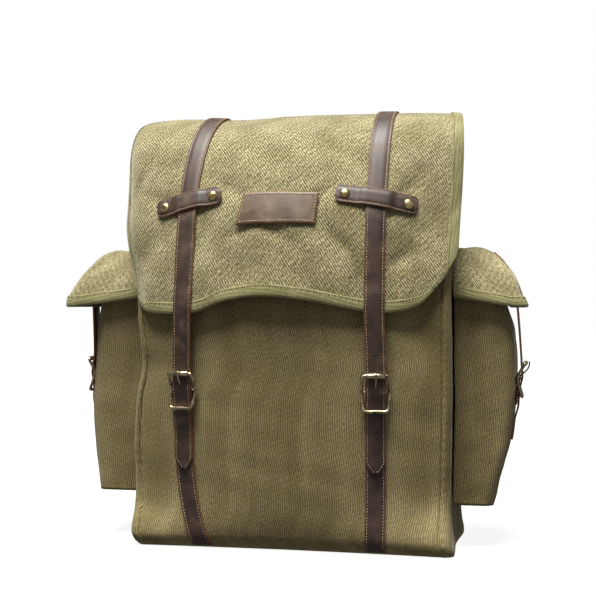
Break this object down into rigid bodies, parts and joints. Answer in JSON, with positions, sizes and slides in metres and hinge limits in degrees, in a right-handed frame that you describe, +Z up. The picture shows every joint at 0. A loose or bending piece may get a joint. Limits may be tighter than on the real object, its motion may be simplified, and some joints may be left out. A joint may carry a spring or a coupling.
{
  "type": "canvas daypack",
  "caption": "Canvas daypack: a soft sack closed by a bound lid flap under leather straps with roller buckles, with flapped side pockets and shoulder straps behind.",
  "frame": {"origin": "middle of the flat base panel's underside, on the floor the pack stands on", "axes": "+X to the viewer's right, +Y to the wearer's back (the front with the buckles faces -Y), +Z up"},
  "size_m": [0.4806, 0.2484, 0.4432],
  "materials": {
    "canvas": "matte olive twill canvas",
    "canvas_shade": "matte olive twill canvas",
    "tape": "matte green binding tape",
    "leather": "satin dark brown leather",
    "brass": "antique brass, satin"
  },
  "bodies": {
    "root": {"front_panel": "canvas", "back_panel": "canvas_shade", "gusset_left": "canvas_shade", "gusset_right": "canvas_shade", "base_panel": "canvas_shade", "lid": "canvas", "lid_binding": "tape", "lid_left_strap": "leather", "lid_left_buckle_strap": "leather", "lid_left_buckle_frame": "brass", "lid_left_buckle_roller": "brass", "lid_left_buckle_prong": "brass", "keeper_left": "leather", "rivet_left_inner": "brass", "rivet_left_outer": "brass", "lid_right_strap": "leather", "lid_right_buckle_strap": "leather", "lid_right_buckle_frame": "brass", "lid_right_buckle_roller": "brass", "lid_right_buckle_prong": "brass", "keeper_right": "leather", "rivet_right_inner": "brass", "rivet_right_outer": "brass", "patch": "leather", "pocket_left": "canvas_shade", "pocket_base_left": "canvas_shade", "pocket_flap_left": "canvas", "pocket_flap_binding_left": "tape", "pocket_left_strap": "leather", "pocket_left_buckle_strap": "leather", "pocket_left_buckle_frame": "brass", "pocket_left_buckle_roller": "brass", "pocket_left_buckle_prong": "brass", "pocket_right": "canvas_shade", "pocket_base_right": "canvas_shade", "pocket_flap_right": "canvas", "pocket_flap_binding_right": "tape", "pocket_right_strap": "leather", "pocket_right_buckle_strap": "leather", "pocket_right_buckle_frame": "brass", "pocket_right_buckle_roller": "brass", "pocket_right_buckle_prong": "brass", "shoulder_strap_left": "canvas", "shoulder_strap_right": "canvas", "strap_anchor_left": "leather", "strap_anchor_right": "leather", "carry_handle": "leather"}
  },
  "joints": []
}
